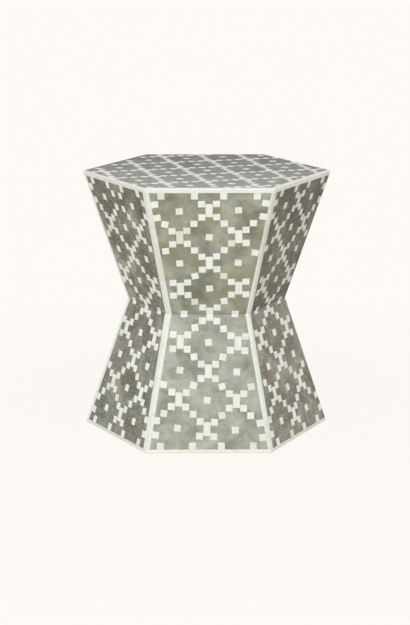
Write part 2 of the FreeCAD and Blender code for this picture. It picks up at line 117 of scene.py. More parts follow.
# Painted shade: how far the bone of the squares, the strips beside the arrises and the other
# strips is greyed, side by side, darker on the sides that the lamps light less.
SHADE_ON_SQUARES = {"upper": {1: 0.16, 2: 0.42, 3: 0.2, 5: 0.1, 6: 0.16}, "lower": {1: 0.24}}
SHADE_ON_STRIPS = {
    "upper": {1: 0.32, 2: 0.28, 3: 0.2, 4: 0.2, 5: 0.2, 6: 0.22},
    "lower": {1: 0.27, 2: 0.04, 3: 0.1, 4: 0.1, 5: 0.1, 6: 0.02},
}
SHADE_ON_EDGES = {"rim": 0.2, "foot": 0.16, "seat": 0.04}

# Tones run from 0, white bone, to 1, cream. Most pieces are nearly white, from the least tone of
# WHITE_TONE up by the second, and about one in twelve is creamier.
CREAM_PIECES = 0.08
CREAM_TONE = (0.45, 0.75)
WHITE_TONE = (0.05, 0.3)

# Tones of the lengths beside the front's arrises, left and right, from the waist outwards, and of
# the lengths of the other strips.
LENGTH_TONES = {
    ("upper", 6): ((0.2, 0.1, 0.2, 0.1), (0.1, 0.3, 0.35, 0.1)),
    ("upper", 1): ((0.1, 0.5, 0.4, 0.1), (0.15, 0, 0.75, 0.3)),
    ("lower", 6): ((0.15, 0.1, 0.2, 0.1), (0.05, 0.1, 0.05, 0.1)),
    ("lower", 1): ((0.1, 0.05, 0.2, 0.1), (0.1, 0.15, 0.05, 0.3)),
}
EDGE_TONES = {"rim": (0.15, 0.2, 0.1), "foot": (0.15, 0.35, 0.1), "seat": (0.1, 0.25, 0.15)}

# On the front, squares that stand alone in the trellis are of mellower bone, and a few others,
# given by column and row of the pattern, of creamier bone. The rest are at most of FRONT_TONE.
LONE_REACH = 2.3 * PITCH
LONE_TONES = {"upper": 0.42, "lower": 0.25}
CREAM_REACH = 0.75
CREAM_TONES = {"upper": 0.78, "lower": 0.52}
CREAM_SQUARES = {
    "upper": [(-4, 12), (-3, 13), (3, 11), (2, 6), (-2, 2), (-6, 18)],
    "lower": [(-1, 7), (1, 9), (-5, 5), (6, 10), (-6, 14), (-2, 14), (2, 14), (-6, 18), (6, 18),
              (-4, 8), (5, 3)],
}
FRONT_TONE = 0.25

# The wax on bone and resin, and the shine that use has rubbed into the seat toward its front edge.
WAX = 0.06
SEAT_SHINE = 0.5
SHINE_START = 180 * MM
SHINE_FULL = -210 * MM
SHINE_DEPTH = 0.6 * MM

# Shades of the resin, as a screen shows them, with painted light and shade: the front's fields
# lighter and greener, the other sides' darker and browner, each lower field lighter than the upper.
LIT_RESIN_SHADES = {
    ("upper", 1): dict(
        middle=(147, 147, 130), spread=(34, 27), warm=(148, 144, 122), cool=(134, 141, 134),
        patches=20, mottling=0.12, veiling=0.24,
        swirl=dict(centre=(0.062, 0, 0.447), radius=0.026, width=0.011)),
    ("lower", 1): dict(
        middle=(157, 160, 147), spread=(32, 26), warm=(153, 151, 133), cool=(150, 157, 151),
        patches=20, mottling=0.1, veiling=0.28),
    ("upper", 2): dict(
        middle=(93, 90, 70), spread=(44, 50), warm=(101, 84, 65), cool=(80, 84, 66),
        patches=48, mottling=0.6),
    ("lower", 2): dict(
        middle=(139, 136, 122), spread=(38, 42), warm=(138, 122, 108), cool=(118, 124, 112),
        patches=48, mottling=0.6),
    ("upper", 6): dict(
        middle=(117, 116, 99), spread=(56, 60), warm=(118, 105, 89), cool=(97, 104, 89),
        patches=48, mottling=0.5),
    ("lower", 6): dict(
        middle=(132, 131, 119), spread=(38, 38), warm=(132, 120, 106), cool=(114, 120, 109),
        patches=48, mottling=0.6),
}
SEAT_SHADES = dict(middle=(99, 98, 93), spread=(44, 32), warm=(99, 95, 84), cool=(94, 92, 95))
# Back sides take the shades of these front ones, their painted light and shade too.
BACK_SHADES = {3: 2, 4: 1, 5: 6}

# Softboxes of the studio: place, size in metres and power in watts.
SOFTBOXES = {
    "front_softbox": ((-0.5, -3.0, 1.35), 1.8, 38),
    "top_softbox": ((-0.3, -1.6, 2.8), 1.6, 15),
    "left_softbox": ((-2.6, -2.2, 1.2), 1.6, 7),
    "right_softbox": ((2.6, -2.0, 1.3), 1.6, 9.5),
    "back_left_softbox": ((-2.4, 2.6, 1.3), 1.6, 8),
    "back_right_softbox": ((2.4, 2.6, 1.3), 1.6, 8),
}
SOFTBOX_AIM = (0, 0, 0.25)
LAMP_LIGHT = (1, 0.995, 0.98)
AIR_LIGHT = (0.97, 0.98, 1, 1)
AIR_STRENGTH = 0.46
FLOOR_REACH = 40
# Share of the floor that is seen in its plain colour, without light or shadow: less near the stool,
# where its shadow shows, than far off, and the distances between which the share grows.
PLAIN_SHARE = (0.945, 1.0)
PLAIN_REACH = (0.35, 1.1)

# The camera, as fitted to the corners of the body in the photo.
CAMERA_PLACE = (-0.0734, -3.2704, 1.0097)
CAMERA_LEVEL = (0.0216, 0.9998, 0)
CAMERA_DIP = math.radians(13.683)
CAMERA_ROLL = 0.0028449
CAMERA_LENS = 103.3
CAMERA_SENSOR = 36
CAMERA_SIGHT = 200


class Signal:
    """Output of a material's node that can be used in plain sums."""

    def __init__(self, finish, socket):
        self.finish = finish
        self.socket = socket

    def __add__(self, other):
        return self.finish.maths("ADD", self, other)

    def __sub__(self, other):
        return self.finish.maths("SUBTRACT", self, other)

    def __rsub__(self, other):
        return self.finish.maths("SUBTRACT", other, self)

    def __mul__(self, other):
        return self.finish.maths("MULTIPLY", self, other)

    __radd__ = __add__
    __rmul__ = __mul__


def set_stops(ramp, stops):
    while len(ramp.elements) < len(stops):
        ramp.elements.new(1)
    for element, (place, colour) in zip(ramp.elements, stops):
        element.position = place
        element.color = (*colour, 1)


def new_node(tree, kind, settings=(), inputs=()):
    """A node with its settings, and then the values or links of its inputs."""
    made = tree.nodes.new(kind)
    for key, value in dict(settings).items():
        if key == "stops":
            set_stops(made.color_ramp, value)
        else:
            setattr(made, key, value)
    for key, value in dict(inputs).items():
        source = value.socket if isinstance(value, Signal) else value
        if isinstance(source, bpy.types.NodeSocket):
            tree.links.new(source, made.inputs[key])
        else:
            made.inputs[key].default_value = source
    return made


class Finish:
    """Nodes of a material, or of the studio's air, each made by one call."""

    # The colour sockets of a Mix node share their names with its other sockets.
    MIX_SHARE, MIX_FIRST, MIX_SECOND, MIX_RESULT = 0, 6, 7, 2

    def __init__(self, owner):
        self.owner = owner
        owner.use_nodes = True
        self.tree = owner.node_tree
        self.tree.nodes.clear()

    def node(self, kind, settings=(), inputs=(), output=0):
        made = new_node(self.tree, f"ShaderNode{kind}", settings, inputs)
        return Signal(self, made.outputs[output]) if made.outputs else made

    def maths(self, operation, *values):
        return self.node("Math", {"operation": operation}, enumerate(values))

    def vectors(self, operation, *values, output=0):
        return self.node("VectorMath", {"operation": operation}, enumerate(values), output)

    def stretched(self, vector, stretch):
        return self.vectors("MULTIPLY", vector, stretch)

    def length(self, vector):
        return self.vectors("LENGTH", vector, output="Value")

    def part(self, vector, axis):
        return self.node("SeparateXYZ", {}, {"Vector": vector}, axis)

    def place(self, offset=(0, 0, 0)):
        """Where a point is on the object, moved."""
        spot = self.node("TexCoord", output="Object")
        return self.node("Mapping", {}, {"Vector": spot, "Location": offset})

    def attribute(self, name, output="Fac"):
        return self.node("Attribute", {"attribute_name": name}, output=output)

    def noise(self, place, scale=1, detail=2, roughness=0.5, distortion=0, output="Fac"):
        return self.node("TexNoise", {}, {
            "Vector": place, "Scale": scale, "Detail": detail, "Roughness": roughness,
            "Distortion": distortion,
        }, output)

    def smooth(self, value, low, high, least=0, most=1):
        """From least to most, softly, as the value goes from low to high."""
        return self.node("MapRange", {"interpolation_type": "SMOOTHSTEP"}, {
            "Value": value, "From Min": low, "From Max": high, "To Min": least, "To Max": most,
        })

    def mixed(self, share, first, second, blend="MIX"):
        first, second = (c if isinstance(c, Signal) else (*c, 1) for c in (first, second))
        return self.node("Mix", {"data_type": "RGBA", "blend_type": blend}, {
            self.MIX_SHARE: share, self.MIX_FIRST: first, self.MIX_SECOND: second,
        }, self.MIX_RESULT)

    def ramp(self, value, stops):
        return self.node("ValToRGB", {"stops": stops}, {"Fac": value})

    def bump(self, height, strength, distance):
        return self.node("Bump", {}, {
            "Height": height, "Strength": strength, "Distance": distance,
        })

    def seen(self):
        """1 for what the camera sees, also in a gloss or through glass, and 0 for light."""
        rays = [self.node("LightPath", output=f"Is {kind} Ray")
                for kind in ("Camera", "Glossy", "Transmission")]
        return self.maths("MAXIMUM", self.maths("MAXIMUM", rays[0], rays[1]), rays[2])

    def surface(self, **values):
        shader = self.node("BsdfPrincipled", {}, {
            key.replace("_", " ").replace("Ior", "IOR"): value for key, value in values.items()
        })
        self.node("OutputMaterial", {}, {"Surface": shader})
        return self.owner


def new_finish(name):
    return Finish(bpy.data.materials.new(name))


def srgb(*steps):
    """Linear colour of the 8-bit steps that a screen shows."""
    return tuple(v / 12.92 if v <= 0.04045 else ((v + 0.055) / 1.055) ** 2.4
                 for v in (step / 255 for step in steps))


def shaded(colour, steps):
    """The linear colour so many screen steps lighter or darker."""
    return srgb(*(value + steps for value in colour))


def waxed_coat(finish):
    """Weight of the wax, and on the seat of its shine: none at the back edge, most at the front."""
    spot = finish.place()
    forward = finish.smooth(finish.part(spot, "Y"), SHINE_START, SHINE_FULL)
    on_seat = finish.smooth(finish.part(spot, "Z"), SEAT_LEVEL - SHINE_DEPTH, SEAT_LEVEL)
    return forward * on_seat * SEAT_SHINE + WAX


def polished_bone():
    """Camel bone: white with creamier clouds, long fibres, and canals as fine dark flecks."""
    finish = new_finish("polished_bone")
    lay = finish.attribute("lay", "Vector")
    tone = finish.attribute("tone")
    sunk = finish.attribute("sunk")
    worn = finish.attribute("worn")
    white, cream, grey = srgb(240, 243, 236), srgb(223, 220, 193), srgb(214, 216, 207)
    straw, shaded_bone = srgb(208, 205, 186), srgb(170, 168, 154)
    fleck, grime = srgb(150, 138, 112), srgb(120, 116, 100)
    clouds = finish.noise(lay, scale=70, detail=3, roughness=0.6)
    fibres = finish.noise(finish.stretched(lay, (60, 900, 900)), detail=3, roughness=0.6)
    canals = finish.noise(finish.stretched(lay, (330, 3200, 3200)))
    bands = finish.noise(finish.stretched(lay, (10, 300, 300)))
    creamy = finish.smooth(tone + (clouds - 0.5) * 0.7 + (bands - 0.5) * 0.5, 0.05, 1.05)
    colour = finish.mixed(creamy, white, cream)
    greyed = finish.smooth(bands + (clouds - 0.5) * 0.6, 0.5, 0.72) * 0.4
    colour = finish.mixed(greyed, colour, grey)
    streaks = finish.smooth(fibres, 0.5, 0.75) * 0.35
    colour = finish.mixed(streaks, colour, straw)
    # Painted shade: each piece greyed toward a shaded bone colour, by the side it lies on.
    colour = finish.mixed(worn, colour, shaded_bone)
    flecks = finish.smooth(canals, 0.66, 0.78) * 0.35
    colour = finish.mixed(flecks, colour, fleck)
    colour = finish.mixed(sunk * 0.8, colour, grime)
    roughness = 0.42 + (clouds - 0.5) * 0.2 + flecks * 0.3
    normal = finish.bump(fibres - flecks * 2, strength=0.12, distance=0.1 * MM)
    return finish.surface(Base_Color=colour, Roughness=roughness, Normal=normal,
                          Specular_Ior_Level=0.3, Coat_Weight=waxed_coat(finish),
                          Coat_Roughness=0.2)


def poured_ring(finish, uneven, centre, radius, width):
    """Share of a pale half ring that the last pour of resin left round a point of a side."""
    apart = finish.vectors("SUBTRACT", finish.place(), centre)
    apart = finish.stretched(apart, (1, 0, 1.3))
    off_ring = finish.maths("ABSOLUTE", finish.length(apart) + uneven - radius)
    upper_half = finish.smooth(finish.part(apart, "Z"), -radius * 0.4, radius * 0.3)
    return finish.smooth(off_ring, width, 0) * upper_half


def clouded_resin(name, offset, middle, spread, warm, cool, patches=24, mottling=0.3,
                  veiling=0.4, swirl=None):
    """Filled resin, clouded as it was floated in, with swirls, mottles, fine grains and sanding."""
    finish = new_finish(name)
    dark = shaded(middle, -spread[0])
    light = shaded(middle, spread[1])
    poured, crease_dark_colour = srgb(170, 178, 166), srgb(70, 66, 54)
    spot = finish.place(offset)
    drift = finish.noise(spot, scale=12, output="Color")
    drifted = finish.vectors("ADD", spot, finish.stretched(drift, (0.06, 0.06, 0.06)))
    clouds = finish.noise(drifted, scale=21, detail=3, distortion=0.5)
    veils = finish.noise(drifted, scale=62, detail=4, roughness=0.6, distortion=0.9)
    swirls = finish.maths("SINE", clouds * 130 + veils * 16)
    elsewhere = finish.place(tuple(v + 3.7 for v in offset))
    hues = finish.noise(elsewhere, scale=patches, detail=3, distortion=0.8)
    mottles = finish.noise(drifted, scale=270, roughness=0.6, distortion=0.4)
    grains = finish.noise(spot, scale=760, detail=3, roughness=0.7)
    combed = finish.noise(finish.stretched(drifted, (90, 90, 520)), detail=3, roughness=0.6)
    body = (clouds * (1 - veiling) + veils * veiling
            + (combed - 0.5) * (veiling / 2) + swirls * 0.012)
    colour = finish.ramp(body, [(0.37, dark), (0.49, srgb(*middle)), (0.63, light)])
    warmer = finish.smooth(hues, 0.48, 0.64) * 0.6
    colour = finish.mixed(warmer, colour, srgb(*warm), "SOFT_LIGHT")
    colour = finish.mixed(finish.smooth(hues, 0.5, 0.64) * 0.48, colour, srgb(*warm))
    colour = finish.mixed(finish.smooth(hues, 0.5, 0.34) * 0.42, colour, srgb(*cool))
    colour = finish.mixed(finish.smooth(mottles, 0.5, 0.68) * mottling, colour, dark)
    colour = finish.mixed(finish.smooth(mottles, 0.5, 0.32) * mottling, colour, light)
    if swirl:
        share = poured_ring(finish, (veils - 0.5) * 0.03, **swirl) * 0.6
        colour = finish.mixed(share, colour, poured)
    colour = finish.mixed(finish.smooth(grains, 0.42, 0.72) * 0.42, colour, dark)
    colour = finish.mixed(finish.smooth(grains, 0.45, 0.25) * 0.4, colour, light)
    # Darker in a thin line along the waist's crease.
    off_crease = finish.maths("ABSOLUTE", finish.part(finish.place(), "Z") - WAIST_LEVEL)
    off_crease = off_crease + (grains - 0.5) * 1.2 * MM
    crease_darkening = finish.smooth(off_crease, 1.1 * MM, 0.3 * MM) * 0.55
    colour = finish.mixed(crease_darkening, colour, crease_dark_colour)
    roughness = 0.46 + (veils - 0.5) * 0.25 + (grains - 0.5) * 0.1
    normal = finish.bump(clouds + grains * 0.05, strength=0.12, distance=0.6 * MM)
    return finish.surface(Base_Color=colour, Roughness=roughness, Normal=normal,
                          Specular_Ior_Level=0.3, Coat_Weight=waxed_coat(finish),
                          Coat_Roughness=0.25)


def sawn_block():
    """Bare wood of the glue blocks, its grain upright."""
    finish = new_finish("sawn_block")
    pale, dark = srgb(196, 160, 112), srgb(150, 112, 70)
    spot = finish.place()
    drift = finish.noise(spot, scale=9, output="Color")
    warped = finish.vectors("ADD", spot, finish.stretched(drift, (0.01, 0.01, 0.03)))
    rings = finish.noise(finish.stretched(warped, (160, 160, 12)), detail=4, roughness=0.6)
    fibres = finish.noise(finish.stretched(spot, (1440, 1440, 108)), detail=3, roughness=0.7)
    colour = finish.ramp(rings, [(0.3, dark), (0.55, pale), (0.8, dark)])
    colour = finish.mixed(finish.smooth(fibres, 0.5, 0.85) * 0.45, colour, dark)
    normal = finish.bump(fibres + rings * 0.4, strength=0.35, distance=0.4 * MM)
    return finish.surface(Base_Color=colour, Roughness=0.62 + fibres * 0.2, Normal=normal)


def pressed_board():
    """Fibreboard: short fibres every way, a few darker flakes and a rubbed-in dust of resin."""
    finish = new_finish("pressed_board")
    dark, middle, pale = srgb(140, 110, 76), srgb(170, 139, 99), srgb(190, 161, 120)
    flake, dust = srgb(96, 70, 44), srgb(120, 98, 72)
    spot = finish.place()
    fibres = finish.noise(finish.stretched(spot, (900, 260, 600)), detail=3, roughness=0.7)
    crossing = finish.noise(finish.stretched(spot, (240, 900, 600)), detail=3, roughness=0.7)
    clouds = finish.noise(spot, scale=16, detail=4, roughness=0.6)
    flakes = finish.noise(spot, scale=420, distortion=1)
    colour = finish.ramp(fibres * 0.5 + crossing * 0.5,
                         [(0.36, dark), (0.5, middle), (0.66, pale)])
    colour = finish.mixed(finish.smooth(flakes, 0.64, 0.74) * 0.5, colour, flake)
    colour = finish.mixed(finish.smooth(clouds, 0.5, 0.8) * 0.35, colour, dust)
    normal = finish.bump(fibres + crossing, strength=0.3, distance=0.2 * MM)
    return finish.surface(Base_Color=colour, Roughness=0.78 + (clouds - 0.5) * 0.2, Normal=normal)


def zinc_steel():
    """Zinc plate on screws and nails, with dull blooms and the lines of its turning."""
    finish = new_finish("zinc_steel")
    spot = finish.place()
    blooms = finish.noise(spot, scale=260, detail=3, roughness=0.6)
    lines = finish.noise(finish.stretched(spot, (600, 600, 4200)), roughness=0.6)
    dull = finish.smooth(blooms, 0.35, 0.7)
    colour = finish.mixed(dull, srgb(168, 170, 172), srgb(196, 194, 184))
    normal = finish.bump(lines, strength=0.15, distance=0.1 * MM)
    return finish.surface(Base_Color=colour, Metallic=1.0, Roughness=0.28 + blooms * 0.25,
                          Normal=normal)


def black_felt():
    """Felt of the glides, with a little pale lint."""
    finish = new_finish("black_felt")
    spot = finish.place()
    fibres = finish.noise(finish.stretched(spot, (1600, 500, 1600)), detail=4, roughness=0.75,
                          distortion=1.5)
    lint = finish.noise(spot, scale=900)
    colour = finish.mixed(finish.smooth(fibres, 0.4, 0.75), srgb(28, 27, 26), srgb(62, 60, 57))
    colour = finish.mixed(finish.smooth(lint, 0.66, 0.76) * 0.5, colour, srgb(120, 114, 104))
    normal = finish.bump(fibres, strength=0.6, distance=0.4 * MM)
    return finish.surface(Base_Color=colour, Roughness=0.9 + (fibres - 0.5) * 0.1, Normal=normal,
                          Sheen_Weight=0.4)


def direction(angle):
    return Vector((math.cos(angle), math.sin(angle), 0))


def circle(steps):
    return [direction(2 * math.pi * step / steps) for step in range(steps)]


def face_angle(face):
    return (face - 1) * 2 * HALF_TURN - math.pi / 2


def outward(face):
    return direction(face_angle(face))


def corner_way(face, turn):
    """Direction of the corner at the left, -HALF_TURN, or right, HALF_TURN, of a side."""
    return direction(face_angle(face) + turn)


def side_plane(half, face, depth=0.0):
    """Leaning side, or the plane at a depth under it, as a point and its outward normal."""
    normal = (outward(face) * HALF_HEIGHT - UP * HALVES[half] * RUN) / SLANT
    crease = outward(face) * WAIST_RADIUS * math.cos(HALF_TURN) + UP * WAIST_LEVEL
    return crease - normal * depth, normal


def mitre_planes(face):
    """Upright planes through the axis at the left and right of a side, facing away from it."""
    left, right = corner_way(face, -HALF_TURN), corner_way(face, HALF_TURN)
    return [(Vector(), left.cross(UP)), (Vector(), UP.cross(right))]


def turned_round(plane):
    return plane[0], -plane[1]


def levels(low, high):
    return [(UP * low, -UP), (UP * high, UP)]


def kept_behind(planes, point):
    for place, normal in planes:
        point = point - normal * max(0, (point - place).dot(normal))
    return point


def cut_block(planes):
    """Solid behind all the planes, cut out of a cube larger than the stool."""
    block = bmesh.new()
    bmesh.ops.create_cube(block, size=2)
    for point, normal in planes:
        cut = bmesh.ops.bisect_plane(
            block, geom=[*block.verts, *block.edges, *block.faces], dist=ON_PLANE,
            plane_co=point, plane_no=normal, clear_outer=True)
        rim = [item for item in cut["geom_cut"] if isinstance(item, bmesh.types.BMEdge)]
        if rim:
            bmesh.ops.edgeloop_fill(block, edges=rim)
    bmesh.ops.recalc_face_normals(block, faces=block.faces)
    return block


class Arris:
    """An outer edge where two planes meet, to be rounded."""

    def __init__(self, point, first, second, rounding):
        self.middle = (first + second).normalized()
        self.half_angle = first.angle(second) / 2
        self.along = first.cross(second).normalized()
        self.centre = point - self.middle * rounding / math.cos(self.half_angle)
        # Pieces further off than this keep their edges.
        self.reach = 3 * rounding

    def cut(self, block, steps=3):
        """Adds edges where the rounding starts and bends."""
        side = self.along.cross(self.middle)
        for step in range(-steps, steps + 1):
            angle = self.half_angle * step / steps
            spoke = self.middle * math.cos(angle) + side * math.sin(angle)
            bmesh.ops.bisect_plane(
                block, geom=[*block.verts, *block.edges, *block.faces], dist=ON_SPOKE,
                plane_co=self.centre, plane_no=self.along.cross(spoke))

    def from_centre(self, point):
        """Offset of a point from the line that the rounding goes round."""
        offset = point - self.centre
        return offset - self.along * offset.dot(self.along)

    def rounded(self, point):
        offset = self.from_centre(point)
        if offset.length < ON_CENTRE or offset.dot(self.middle) <= 0:
            return point
        angle = offset.angle(self.middle)
        if angle >= self.half_angle:
            return point
        return point - offset * (1 - math.cos(self.half_angle - angle))

    def near(self, block):
        return min(self.from_centre(vert.co).length for vert in block.verts) < self.reach


def corner_arrises():
    found = []
    for half in HALVES:
        for face in FACES:
            if face == BARE_ARRIS:
                continue
            first, second = side_plane(half, face)[1], side_plane(half, face % SIDES + 1)[1]
            point = corner_way(face, HALF_TURN) * WAIST_RADIUS + UP * WAIST_LEVEL
            found.append((half, Arris(point, first, second, ARRIS_ROUNDING)))
    return found


def edge_arrises():
    found = []
    for face in FACES:
        edge = outward(face) * CORNER_RADIUS * math.cos(HALF_TURN)
        seat, foot = edge + UP * SEAT_LEVEL, edge + UP * GLIDE_PROUD
        if face in BORDER_SHARES:
            found.append(("upper", Arris(seat, UP, side_plane("upper", face)[1], SEAT_ROUNDING)))
        found.append(("lower", Arris(foot, -UP, side_plane("lower", face)[1], FOOT_ROUNDING)))
    return found


ARRISES = corner_arrises() + edge_arrises()


def put_in_place(piece, replaced):
    """Rides a finished piece on the body in place of a CAD node."""
    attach(piece, "root")
    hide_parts(replaced)


class BoneWork:
    """Pieces of bone gathered into one mesh, each with its own grain and tone."""

    def __init__(self, name, seed, shade_depth=0.0):
        self.name = name
        self.random = random.Random(seed)
        self.shade_depth = shade_depth
        self.points = []
        self.faces = []
        # For each point: its place in the piece's own grain, the piece's tone, 1 where the point
        # is under the finished face, and how far painted shade greys the piece.
        self.lay = []
        self.tone = []
        self.sunk = []
        self.worn = []

    def add(self, points, faces, grain, normal, tone, sunk):
        start = len(self.points)
        centre = sum(points, Vector()) / len(points)
        across = normal.cross(grain).normalized()
        along = across.cross(normal)
        shift = Vector([self.random.uniform(-5, 5) for _ in range(3)])
        self.points += points
        self.faces += [[start + index for index in face] for face in faces]
        for point in points:
            offset = point - centre
            place = Vector((offset.dot(along), offset.dot(across), offset.dot(normal)))
            self.lay.append(shift + place)
        self.tone += [tone] * len(points)
        self.sunk += sunk
        self.worn += [self.shade_depth] * len(points)

    def drawn_tone(self):
        if self.random.random() < CREAM_PIECES:
            return self.random.uniform(*CREAM_TONE)
        least, spread = WHITE_TONE
        return least + spread * self.random.random() ** 2

    def square(self, outline, normal, tone, limits):
        """Piece cut by hand to an outline, its corners nipped and face bevelled, kept in limits."""
        centre = sum(outline, Vector()) / len(outline)
        cut = [p + (centre - p).normalized() * self.random.uniform(0, HAND_CUT) for p in outline]
        after = cut[1:] + cut[:1]
        ring = []
        for index, point in enumerate(cut):
            for neighbour in (cut[index - 1], after[index]):
                edge = neighbour - point
                ring.append(point + edge.normalized() * min(NIPPED_CORNER, edge.length / 3))
        face = [p + (centre - p).normalized() * BEVEL * SQUARE_EASING for p in ring]
        shoulder = [kept_behind(limits, p - normal * BEVEL) for p in ring]
        foot = [kept_behind(limits, p - normal * SKIN) for p in ring]
        count = len(ring)
        faces = [list(range(count)), [2 * count + i for i in reversed(range(count))]]
        for row in (0, count):
            for i in range(count):
                j = (i + 1) % count
                faces.append([row + i, row + count + i, row + count + j, row + j])
        edges = [second - first for first, second in zip(cut, after)]
        grain = max(edges, key=lambda edge: edge.length)
        shortest = min(edge.length for edge in edges)
        if grain.length < NEARLY_SQUARE * shortest and self.random.random() < 0.5:
            grain = normal.cross(grain)
        grain = Matrix.Rotation(self.random.gauss(0, GRAIN_STRAY), 3, normal) @ grain
        sunk = [0.0] * count + [1.0] * (2 * count)
        self.add(face + shoulder + foot, faces, grain, normal, tone, sunk)

    def strip(self, planes, outers, ends, along, lengths, half, tones=None):
        """A strip made of several lengths of bone, butted, with its outer edges eased."""
        wander = [self.random.uniform(-JOINT_WANDER, JOINT_WANDER) for _ in range(1, lengths)]
        start, end = (end_point.dot(along) for end_point in ends)
        cuts = [start + (end - start) * (i + 1 + w) / lengths for i, w in enumerate(wander)]
        # The outermost cuts are clear of the strip, whose planes end it.
        cuts = [start - 1, *cuts, end + 1]
        skews = [Vector([self.random.uniform(-JOINT_SKEW, JOINT_SKEW) for _ in range(3)])
                 for _ in cuts]
        base = ends[0] - along * start
        for index in range(lengths):
            near, far = cuts[index] + JOINT / 2, cuts[index + 1] - JOINT / 2
            block = cut_block(planes + [
                (base + along * near, -(along + skews[index]).normalized()),
                (base + along * far, (along + skews[index + 1]).normalized()),
            ])
            tone = tones[index] if tones else self.drawn_tone()
            self.worked(block, outers, along, half, tone)

    def worked(self, block, outers, along, half, tone):
        """Bevels a block's outer edges, rounds it along the arrises and adds it to the work."""
        def is_outer(face):
            return any(face.normal.dot(normal) > SAME_FACE for normal in outers)

        eased = [edge for edge in block.edges if sum(map(is_outer, edge.link_faces)) == 1]
        bmesh.ops.bevel(block, geom=eased, offset=BEVEL, affect="EDGES", segments=1, profile=0.5)
        near = [arris for side, arris in ARRISES if side == half and arris.near(block)]
        for arris in near:
            arris.cut(block)
        block.normal_update()
        outer_verts = {vert for face in block.faces if is_outer(face) for vert in face.verts}
        block.verts.index_update()
        sunk = [0.0 if vert in outer_verts else 1.0 for vert in block.verts]
        points = []
        for vert in block.verts:
            point = vert.co.copy()
            for arris in near:
                point = arris.rounded(point)
            point.z = min(max(point.z, GLIDE_PROUD), SEAT_LEVEL)
            points.append(point)
        faces = [[vert.index for vert in face.verts] for face in block.faces]
        self.add(points, faces, along, outers[0], tone, sunk)
        block.free()

    def laid(self, replaced, finish):
        """The finished mesh, in place of a CAD node."""
        mesh = bpy.data.meshes.new(self.name)
        mesh.from_pydata(self.points, [], self.faces)
        for name, kind, field, values in (
            ("lay", "FLOAT_VECTOR", "vector", [value for vector in self.lay for value in vector]),
            ("tone", "FLOAT", "value", self.tone),
            ("sunk", "FLOAT", "value", self.sunk),
            ("worn", "FLOAT", "value", self.worn),
        ):
            mesh.attributes.new(name, kind, "POINT").data.foreach_set(field, values)
        mesh.shade_smooth()
        mesh.set_sharp_from_angle(angle=SHARP_BONE)
        mesh.materials.append(finish)
        piece = bpy.data.objects.new(self.name, mesh)
        bpy.context.scene.collection.objects.link(piece)
        put_in_place(piece, replaced)


def outlines(node, normal):
    """Outlines of a CAD node's solids on their finished face."""
    work = bmesh.new()
    work.from_mesh(nodes[node].data)
    bmesh.ops.remove_doubles(work, verts=work.verts, dist=WELD)
    bmesh.ops.dissolve_limit(work, angle_limit=FLAT_EDGE, verts=work.verts, edges=work.edges)
    work.normal_update()
    found = [[vert.co.copy() for vert in face.verts] for face in work.faces
             if face.normal.dot(normal) > SAME_SIDE]
    work.free()
    return found


def front_tone(half, middle, middles, drawn):
    """Tone of a square of the front, from where its middle and the others are on the side."""
    along = (outward(FRONT) * RUN + UP * HALVES[half] * HALF_HEIGHT) / SLANT
    across = UP.cross(outward(FRONT))
    place = (middle.dot(across) / PITCH, middle.dot(along) / PITCH)
    if any(math.dist(place, spot) < CREAM_REACH for spot in CREAM_SQUARES[half]):
        return CREAM_TONES[half]
    # A square that stands alone has only itself within reach.
    if sum((middle - other).length < LONE_REACH for other in middles) == 1:
        return LONE_TONES[half]
    return min(drawn, FRONT_TONE)


def lay_side_squares(finish, half, face):
    crease, normal = side_plane(half, face)
    work = BoneWork(f"{half}_laid_bone_{face}", f"{half}{face}", SHADE_ON_SQUARES[half].get(face, 0))
    squares = outlines(f"{half}_bone_squares_{face}", normal)
    middles = [sum(outline, Vector()) / len(outline) - crease for outline in squares]
    for outline, middle in zip(squares, middles):
        tone = work.drawn_tone()
        if face == FRONT:
            tone = front_tone(half, middle, middles, tone)
        work.square(outline, normal, tone, mitre_planes(face))
    work.laid(f"{half}_bone_squares_{face}", finish)


def lay_seat_squares(finish):
    work = BoneWork("seat_laid_bone", "seat")
    sides = [side_plane("upper", face) for face in FACES]
    for outline in outlines("seat_bone_squares", UP):
        work.square(outline, UP, work.drawn_tone(), sides)
    work.laid("seat_bone_squares", finish)


def lay_squares(finish):
    for half in HALVES:
        for face in FACES:
            lay_side_squares(finish, half, face)
    lay_seat_squares(finish)


def lay_arris_strips(finish, half, span):
    """Strips on both sides of each arris of a half, between two levels."""
    work = BoneWork(f"{half}_arris_strips", f"{half} arris")
    for face in FACES:
        # Painted shade of this side's strips.
        work.shade_depth = SHADE_ON_STRIPS[half][face]
        outer = side_plane(half, face)
        inner = turned_round(side_plane(half, face, SKIN))
        turns = (-HALF_TURN, HALF_TURN)
        shares = STRIP_SHARES[half].get(face, (1, 1))
        both_tones = LENGTH_TONES.get((half, face), (None, None))
        for mitre, turn, share, tones in zip(mitre_planes(face), turns, shares, both_tones):
            if not share:
                continue
            field = (-mitre[1] * CORNER_STRIP * share * math.cos(HALF_TURN), -mitre[1])
            foot = corner_way(face, turn) * WAIST_RADIUS + UP * WAIST_LEVEL
            head = (corner_way(face, turn) * CORNER_RADIUS
                    + UP * (WAIST_LEVEL + HALVES[half] * HALF_HEIGHT))
            planes = [outer, inner, mitre, field, *levels(*span)]
            work.strip(planes, [outer[1]], (foot, head), (head - foot).normalized(),
                       ARRIS_LENGTHS, half, tones)
    work.laid(f"{half}_corner_strips", finish)


def lay_edge(work, edge, half, face, planes, outers):
    """A strip along the upper or lower edge of a side."""
    ends = [corner_way(face, turn) * CORNER_RADIUS for turn in (-HALF_TURN, HALF_TURN)]
    work.strip(planes, outers, ends, UP.cross(outward(face)), EDGE_LENGTHS, half,
               EDGE_TONES[edge])


